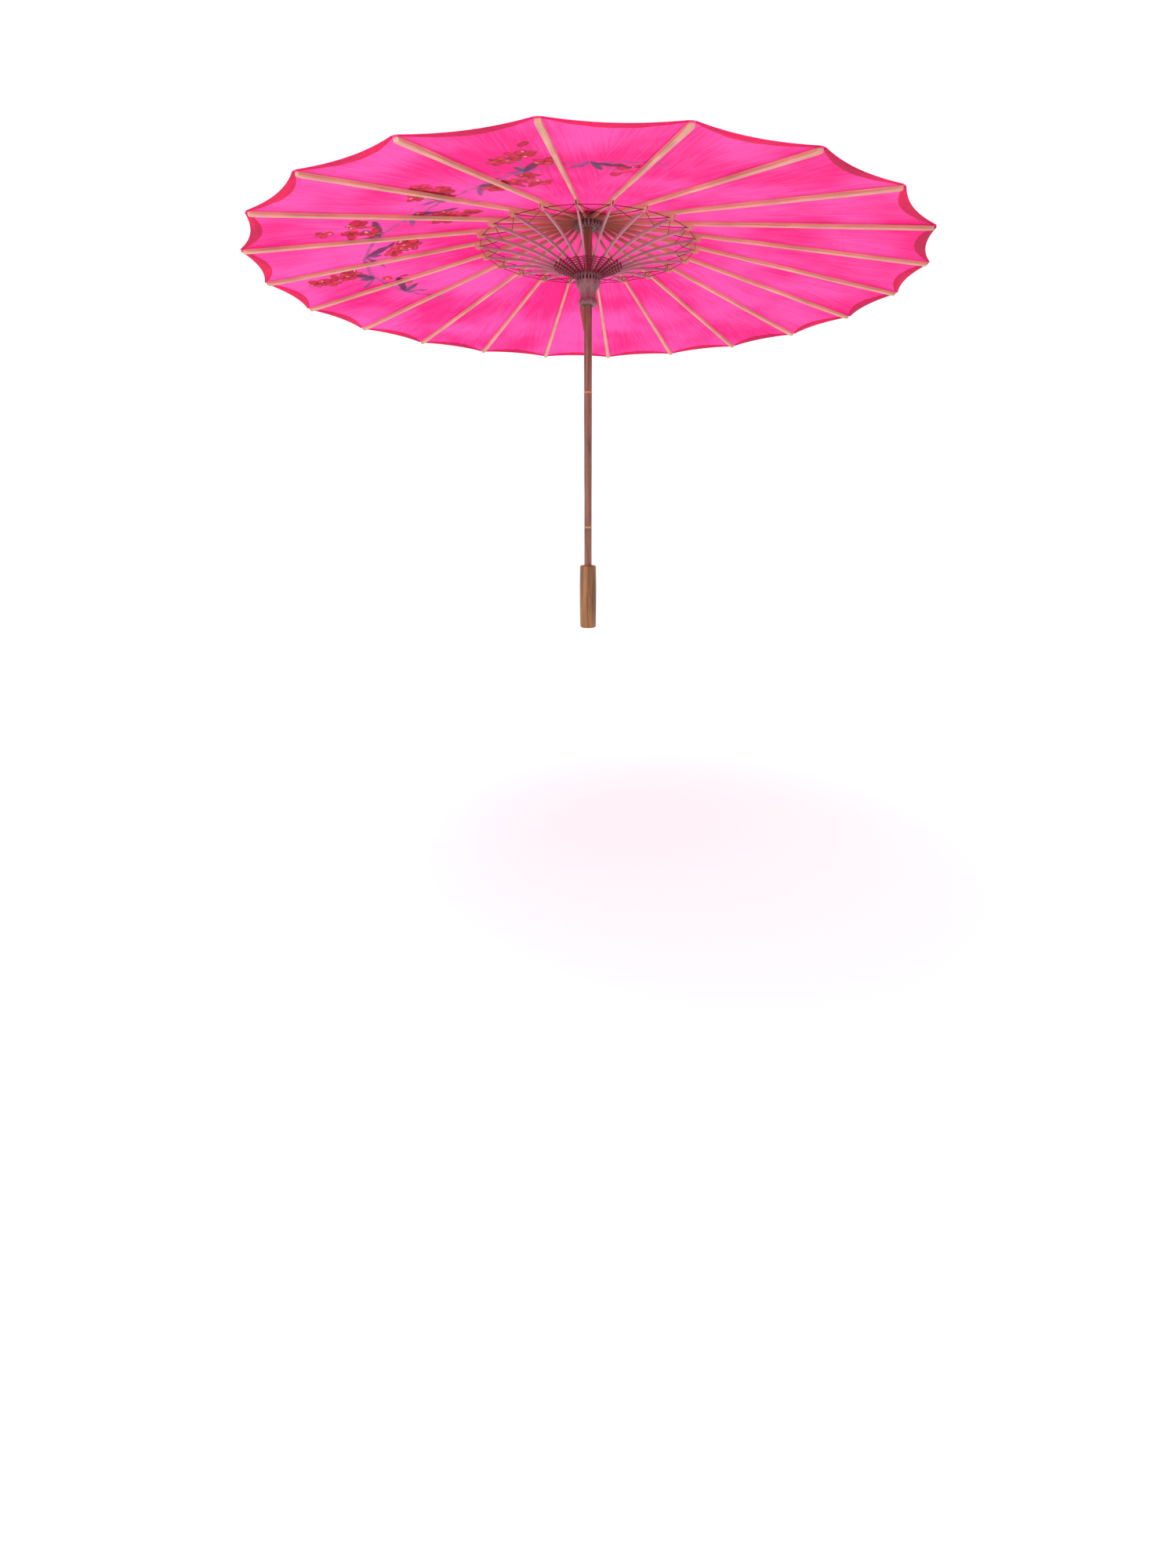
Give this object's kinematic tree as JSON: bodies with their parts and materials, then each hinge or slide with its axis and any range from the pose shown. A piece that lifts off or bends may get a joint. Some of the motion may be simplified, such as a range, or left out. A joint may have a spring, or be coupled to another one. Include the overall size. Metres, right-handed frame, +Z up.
{
  "type": "bamboo frame parasol",
  "caption": "Folding hand parasol: cane pole, turned grip, slotted hub and sliding runner, bamboo ribs with struts, and a thin painted pink cloth canopy.",
  "frame": {"origin": "centre of the flat end of the handle", "axes": "+Z up along the pole towards the cap, -Y towards rib 01, the catch is on the -X side"},
  "size_m": [0.8116, 0.82, 0.527],
  "materials": {
    "bamboo_pole": "stained bamboo cane with joints, satin",
    "handle_wood": "turned hardwood with clear grain, satin lacquer",
    "runner_wood": "turned and slotted wood, matt, greyish brown",
    "rib_bamboo": "split bamboo, pale, matt",
    "strut_bamboo": "thin split bamboo, matt, tinted pink",
    "canopy_cloth": "thin glossy plain-weave cloth, translucent, hot pink, painted with blossoms",
    "frill_cloth": "the same pink cloth with a pinked edge",
    "band_cloth": "gathered cloth, deep pink red",
    "cap_plastic": "moulded plastic cap, orange red",
    "binding_wire": "thin steel wire",
    "binding_thread": "dark red cotton thread"
  },
  "bodies": {
    "pole": {"pole": "bamboo_pole", "handle": "handle_wood", "hub": "runner_wood", "hub_wire": "binding_wire", "canopy": "canopy_cloth", "frill_band": "band_cloth", "top_frill": "frill_cloth", "cap": "cap_plastic", "joint_thread": "binding_thread", "net_thread": "binding_thread"},
    "rib_01": {"rib_01": "rib_bamboo"},
    "rib_02": {"rib_02": "rib_bamboo"},
    "rib_03": {"rib_03": "rib_bamboo"},
    "rib_04": {"rib_04": "rib_bamboo"},
    "rib_05": {"rib_05": "rib_bamboo"},
    "rib_06": {"rib_06": "rib_bamboo"},
    "rib_07": {"rib_07": "rib_bamboo"},
    "rib_08": {"rib_08": "rib_bamboo"},
    "rib_09": {"rib_09": "rib_bamboo"},
    "rib_10": {"rib_10": "rib_bamboo"},
    "rib_11": {"rib_11": "rib_bamboo"},
    "rib_12": {"rib_12": "rib_bamboo"},
    "rib_13": {"rib_13": "rib_bamboo"},
    "rib_14": {"rib_14": "rib_bamboo"},
    "rib_15": {"rib_15": "rib_bamboo"},
    "rib_16": {"rib_16": "rib_bamboo"},
    "rib_17": {"rib_17": "rib_bamboo"},
    "rib_18": {"rib_18": "rib_bamboo"},
    "rib_19": {"rib_19": "rib_bamboo"},
    "rib_20": {"rib_20": "rib_bamboo"},
    "rib_21": {"rib_21": "rib_bamboo"},
    "rib_22": {"rib_22": "rib_bamboo"},
    "strut_01": {"strut_01": "strut_bamboo"},
    "strut_02": {"strut_02": "strut_bamboo"},
    "strut_03": {"strut_03": "strut_bamboo"},
    "strut_04": {"strut_04": "strut_bamboo"},
    "strut_05": {"strut_05": "strut_bamboo"},
    "strut_06": {"strut_06": "strut_bamboo"},
    "strut_07": {"strut_07": "strut_bamboo"},
    "strut_08": {"strut_08": "strut_bamboo"},
    "strut_09": {"strut_09": "strut_bamboo"},
    "strut_10": {"strut_10": "strut_bamboo"},
    "strut_11": {"strut_11": "strut_bamboo"},
    "strut_12": {"strut_12": "strut_bamboo"},
    "strut_13": {"strut_13": "strut_bamboo"},
    "strut_14": {"strut_14": "strut_bamboo"},
    "strut_15": {"strut_15": "strut_bamboo"},
    "strut_16": {"strut_16": "strut_bamboo"},
    "strut_17": {"strut_17": "strut_bamboo"},
    "strut_18": {"strut_18": "strut_bamboo"},
    "strut_19": {"strut_19": "strut_bamboo"},
    "strut_20": {"strut_20": "strut_bamboo"},
    "strut_21": {"strut_21": "strut_bamboo"},
    "strut_22": {"strut_22": "strut_bamboo"},
    "runner": {"runner": "runner_wood", "runner_wire": "binding_wire"},
    "spring_catch": {"spring_catch": "rib_bamboo"}
  },
  "joints": [
    {"name": "canopy_fold", "type": "hinge", "parent": "pole", "child": "rib_01", "pos_m": [0, -0.013, 0.5], "axis": [1, 0, 0], "range_deg": [0, 76], "deforming": ["canopy", "joint_thread", "net_thread", "spring_catch"]},
    {"name": "rib_fold_02", "type": "hinge", "parent": "pole", "child": "rib_02", "pos_m": [0.00366, -0.01247, 0.5], "axis": [0.9595, 0.2817, 0], "range_deg": [0, 76]},
    {"name": "rib_fold_03", "type": "hinge", "parent": "pole", "child": "rib_03", "pos_m": [0.00703, -0.01094, 0.5], "axis": [0.8413, 0.5406, 0], "range_deg": [0, 76]},
    {"name": "rib_fold_04", "type": "hinge", "parent": "pole", "child": "rib_04", "pos_m": [0.00982, -0.00851, 0.5], "axis": [0.6549, 0.7557, 0], "range_deg": [0, 76]},
    {"name": "rib_fold_05", "type": "hinge", "parent": "pole", "child": "rib_05", "pos_m": [0.01183, -0.0054, 0.5], "axis": [0.4154, 0.9096, 0], "range_deg": [0, 76]},
    {"name": "rib_fold_06", "type": "hinge", "parent": "pole", "child": "rib_06", "pos_m": [0.01287, -0.00185, 0.5], "axis": [0.1423, 0.9898, 0], "range_deg": [0, 76]},
    {"name": "rib_fold_07", "type": "hinge", "parent": "pole", "child": "rib_07", "pos_m": [0.01287, 0.00185, 0.5], "axis": [-0.1423, 0.9898, 0], "range_deg": [0, 76]},
    {"name": "rib_fold_08", "type": "hinge", "parent": "pole", "child": "rib_08", "pos_m": [0.01183, 0.0054, 0.5], "axis": [-0.4154, 0.9096, 0], "range_deg": [0, 76]},
    {"name": "rib_fold_09", "type": "hinge", "parent": "pole", "child": "rib_09", "pos_m": [0.00982, 0.00851, 0.5], "axis": [-0.6549, 0.7557, 0], "range_deg": [0, 76]},
    {"name": "rib_fold_10", "type": "hinge", "parent": "pole", "child": "rib_10", "pos_m": [0.00703, 0.01094, 0.5], "axis": [-0.8413, 0.5406, 0], "range_deg": [0, 76]},
    {"name": "rib_fold_11", "type": "hinge", "parent": "pole", "child": "rib_11", "pos_m": [0.00366, 0.01247, 0.5], "axis": [-0.9595, 0.2817, 0], "range_deg": [0, 76]},
    {"name": "rib_fold_12", "type": "hinge", "parent": "pole", "child": "rib_12", "pos_m": [0, 0.013, 0.5], "axis": [-1, 0, 0], "range_deg": [0, 76]},
    {"name": "rib_fold_13", "type": "hinge", "parent": "pole", "child": "rib_13", "pos_m": [-0.00366, 0.01247, 0.5], "axis": [-0.9595, -0.2817, 0], "range_deg": [0, 76]},
    {"name": "rib_fold_14", "type": "hinge", "parent": "pole", "child": "rib_14", "pos_m": [-0.00703, 0.01094, 0.5], "axis": [-0.8413, -0.5406, 0], "range_deg": [0, 76]},
    {"name": "rib_fold_15", "type": "hinge", "parent": "pole", "child": "rib_15", "pos_m": [-0.00982, 0.00851, 0.5], "axis": [-0.6549, -0.7557, 0], "range_deg": [0, 76]},
    {"name": "rib_fold_16", "type": "hinge", "parent": "pole", "child": "rib_16", "pos_m": [-0.01183, 0.0054, 0.5], "axis": [-0.4154, -0.9096, 0], "range_deg": [0, 76]},
    {"name": "rib_fold_17", "type": "hinge", "parent": "pole", "child": "rib_17", "pos_m": [-0.01287, 0.00185, 0.5], "axis": [-0.1423, -0.9898, 0], "range_deg": [0, 76]},
    {"name": "rib_fold_18", "type": "hinge", "parent": "pole", "child": "rib_18", "pos_m": [-0.01287, -0.00185, 0.5], "axis": [0.1423, -0.9898, 0], "range_deg": [0, 76]},
    {"name": "rib_fold_19", "type": "hinge", "parent": "pole", "child": "rib_19", "pos_m": [-0.01183, -0.0054, 0.5], "axis": [0.4154, -0.9096, 0], "range_deg": [0, 76]},
    {"name": "rib_fold_20", "type": "hinge", "parent": "pole", "child": "rib_20", "pos_m": [-0.00982, -0.00851, 0.5], "axis": [0.6549, -0.7557, 0], "range_deg": [0, 76]},
    {"name": "rib_fold_21", "type": "hinge", "parent": "pole", "child": "rib_21", "pos_m": [-0.00703, -0.01094, 0.5], "axis": [0.8413, -0.5406, 0], "range_deg": [0, 76]},
    {"name": "rib_fold_22", "type": "hinge", "parent": "pole", "child": "rib_22", "pos_m": [-0.00366, -0.01247, 0.5], "axis": [0.9595, -0.2817, 0], "range_deg": [0, 76]},
    {"name": "strut_fold_01", "type": "hinge", "parent": "rib_01", "child": "strut_01", "pos_m": [0, -0.13552, 0.47058], "axis": [1, 0, 0], "range_deg": [-152, 0]},
    {"name": "strut_fold_02", "type": "hinge", "parent": "rib_02", "child": "strut_02", "pos_m": [0.03818, -0.13003, 0.47058], "axis": [0.9595, 0.2817, 0], "range_deg": [-152, 0]},
    {"name": "strut_fold_03", "type": "hinge", "parent": "rib_03", "child": "strut_03", "pos_m": [0.07327, -0.114, 0.47058], "axis": [0.8413, 0.5406, 0], "range_deg": [-152, 0]},
    {"name": "strut_fold_04", "type": "hinge", "parent": "rib_04", "child": "strut_04", "pos_m": [0.10242, -0.08874, 0.47058], "axis": [0.6549, 0.7557, 0], "range_deg": [-152, 0]},
    {"name": "strut_fold_05", "type": "hinge", "parent": "rib_05", "child": "strut_05", "pos_m": [0.12327, -0.0563, 0.47058], "axis": [0.4154, 0.9096, 0], "range_deg": [-152, 0]},
    {"name": "strut_fold_06", "type": "hinge", "parent": "rib_06", "child": "strut_06", "pos_m": [0.13414, -0.01929, 0.47058], "axis": [0.1423, 0.9898, 0], "range_deg": [-152, 0]},
    {"name": "strut_fold_07", "type": "hinge", "parent": "rib_07", "child": "strut_07", "pos_m": [0.13414, 0.01929, 0.47058], "axis": [-0.1423, 0.9898, 0], "range_deg": [-152, 0]},
    {"name": "strut_fold_08", "type": "hinge", "parent": "rib_08", "child": "strut_08", "pos_m": [0.12327, 0.0563, 0.47058], "axis": [-0.4154, 0.9096, 0], "range_deg": [-152, 0]},
    {"name": "strut_fold_09", "type": "hinge", "parent": "rib_09", "child": "strut_09", "pos_m": [0.10242, 0.08874, 0.47058], "axis": [-0.6549, 0.7557, 0], "range_deg": [-152, 0]},
    {"name": "strut_fold_10", "type": "hinge", "parent": "rib_10", "child": "strut_10", "pos_m": [0.07327, 0.114, 0.47058], "axis": [-0.8413, 0.5406, 0], "range_deg": [-152, 0]},
    {"name": "strut_fold_11", "type": "hinge", "parent": "rib_11", "child": "strut_11", "pos_m": [0.03818, 0.13003, 0.47058], "axis": [-0.9595, 0.2817, 0], "range_deg": [-152, 0]},
    {"name": "strut_fold_12", "type": "hinge", "parent": "rib_12", "child": "strut_12", "pos_m": [0, 0.13552, 0.47058], "axis": [-1, 0, 0], "range_deg": [-152, 0]},
    {"name": "strut_fold_13", "type": "hinge", "parent": "rib_13", "child": "strut_13", "pos_m": [-0.03818, 0.13003, 0.47058], "axis": [-0.9595, -0.2817, 0], "range_deg": [-152, 0]},
    {"name": "strut_fold_14", "type": "hinge", "parent": "rib_14", "child": "strut_14", "pos_m": [-0.07327, 0.114, 0.47058], "axis": [-0.8413, -0.5406, 0], "range_deg": [-152, 0]},
    {"name": "strut_fold_15", "type": "hinge", "parent": "rib_15", "child": "strut_15", "pos_m": [-0.10242, 0.08874, 0.47058], "axis": [-0.6549, -0.7557, 0], "range_deg": [-152, 0]},
    {"name": "strut_fold_16", "type": "hinge", "parent": "rib_16", "child": "strut_16", "pos_m": [-0.12327, 0.0563, 0.47058], "axis": [-0.4154, -0.9096, 0], "range_deg": [-152, 0]},
    {"name": "strut_fold_17", "type": "hinge", "parent": "rib_17", "child": "strut_17", "pos_m": [-0.13414, 0.01929, 0.47058], "axis": [-0.1423, -0.9898, 0], "range_deg": [-152, 0]},
    {"name": "strut_fold_18", "type": "hinge", "parent": "rib_18", "child": "strut_18", "pos_m": [-0.13414, -0.01929, 0.47058], "axis": [0.1423, -0.9898, 0], "range_deg": [-152, 0]},
    {"name": "strut_fold_19", "type": "hinge", "parent": "rib_19", "child": "strut_19", "pos_m": [-0.12327, -0.0563, 0.47058], "axis": [0.4154, -0.9096, 0], "range_deg": [-152, 0]},
    {"name": "strut_fold_20", "type": "hinge", "parent": "rib_20", "child": "strut_20", "pos_m": [-0.10242, -0.08874, 0.47058], "axis": [0.6549, -0.7557, 0], "range_deg": [-152, 0]},
    {"name": "strut_fold_21", "type": "hinge", "parent": "rib_21", "child": "strut_21", "pos_m": [-0.07327, -0.114, 0.47058], "axis": [0.8413, -0.5406, 0], "range_deg": [-152, 0]},
    {"name": "strut_fold_22", "type": "hinge", "parent": "rib_22", "child": "strut_22", "pos_m": [-0.03818, -0.13003, 0.47058], "axis": [0.9595, -0.2817, 0], "range_deg": [-152, 0]},
    {"name": "runner_travel", "type": "hinge", "parent": "strut_01", "child": "runner", "pos_m": [0, -0.013, 0.44116], "axis": [1, 0, 0], "range_deg": [0, 76]},
    {"name": "catch_press", "type": "hinge", "parent": "pole", "child": "spring_catch", "pos_m": [-0.0019, 0, 0.38236], "axis": [0, 1, 0], "range_deg": [0, 9], "stiffness_Nm_per_rad": 0.02}
  ],
  "couplings": [
    {"joint": "rib_fold_02", "follows": "canopy_fold", "ratio": 1},
    {"joint": "rib_fold_03", "follows": "canopy_fold", "ratio": 1},
    {"joint": "rib_fold_04", "follows": "canopy_fold", "ratio": 1},
    {"joint": "rib_fold_05", "follows": "canopy_fold", "ratio": 1},
    {"joint": "rib_fold_06", "follows": "canopy_fold", "ratio": 1},
    {"joint": "rib_fold_07", "follows": "canopy_fold", "ratio": 1},
    {"joint": "rib_fold_08", "follows": "canopy_fold", "ratio": 1},
    {"joint": "rib_fold_09", "follows": "canopy_fold", "ratio": 1},
    {"joint": "rib_fold_10", "follows": "canopy_fold", "ratio": 1},
    {"joint": "rib_fold_11", "follows": "canopy_fold", "ratio": 1},
    {"joint": "rib_fold_12", "follows": "canopy_fold", "ratio": 1},
    {"joint": "rib_fold_13", "follows": "canopy_fold", "ratio": 1},
    {"joint": "rib_fold_14", "follows": "canopy_fold", "ratio": 1},
    {"joint": "rib_fold_15", "follows": "canopy_fold", "ratio": 1},
    {"joint": "rib_fold_16", "follows": "canopy_fold", "ratio": 1},
    {"joint": "rib_fold_17", "follows": "canopy_fold", "ratio": 1},
    {"joint": "rib_fold_18", "follows": "canopy_fold", "ratio": 1},
    {"joint": "rib_fold_19", "follows": "canopy_fold", "ratio": 1},
    {"joint": "rib_fold_20", "follows": "canopy_fold", "ratio": 1},
    {"joint": "rib_fold_21", "follows": "canopy_fold", "ratio": 1},
    {"joint": "rib_fold_22", "follows": "canopy_fold", "ratio": 1},
    {"joint": "strut_fold_01", "follows": "canopy_fold", "ratio": -2},
    {"joint": "strut_fold_02", "follows": "canopy_fold", "ratio": -2},
    {"joint": "strut_fold_03", "follows": "canopy_fold", "ratio": -2},
    {"joint": "strut_fold_04", "follows": "canopy_fold", "ratio": -2},
    {"joint": "strut_fold_05", "follows": "canopy_fold", "ratio": -2},
    {"joint": "strut_fold_06", "follows": "canopy_fold", "ratio": -2},
    {"joint": "strut_fold_07", "follows": "canopy_fold", "ratio": -2},
    {"joint": "strut_fold_08", "follows": "canopy_fold", "ratio": -2},
    {"joint": "strut_fold_09", "follows": "canopy_fold", "ratio": -2},
    {"joint": "strut_fold_10", "follows": "canopy_fold", "ratio": -2},
    {"joint": "strut_fold_11", "follows": "canopy_fold", "ratio": -2},
    {"joint": "strut_fold_12", "follows": "canopy_fold", "ratio": -2},
    {"joint": "strut_fold_13", "follows": "canopy_fold", "ratio": -2},
    {"joint": "strut_fold_14", "follows": "canopy_fold", "ratio": -2},
    {"joint": "strut_fold_15", "follows": "canopy_fold", "ratio": -2},
    {"joint": "strut_fold_16", "follows": "canopy_fold", "ratio": -2},
    {"joint": "strut_fold_17", "follows": "canopy_fold", "ratio": -2},
    {"joint": "strut_fold_18", "follows": "canopy_fold", "ratio": -2},
    {"joint": "strut_fold_19", "follows": "canopy_fold", "ratio": -2},
    {"joint": "strut_fold_20", "follows": "canopy_fold", "ratio": -2},
    {"joint": "strut_fold_21", "follows": "canopy_fold", "ratio": -2},
    {"joint": "strut_fold_22", "follows": "canopy_fold", "ratio": -2},
    {"joint": "runner_travel", "follows": "canopy_fold", "ratio": 1}
  ]
}
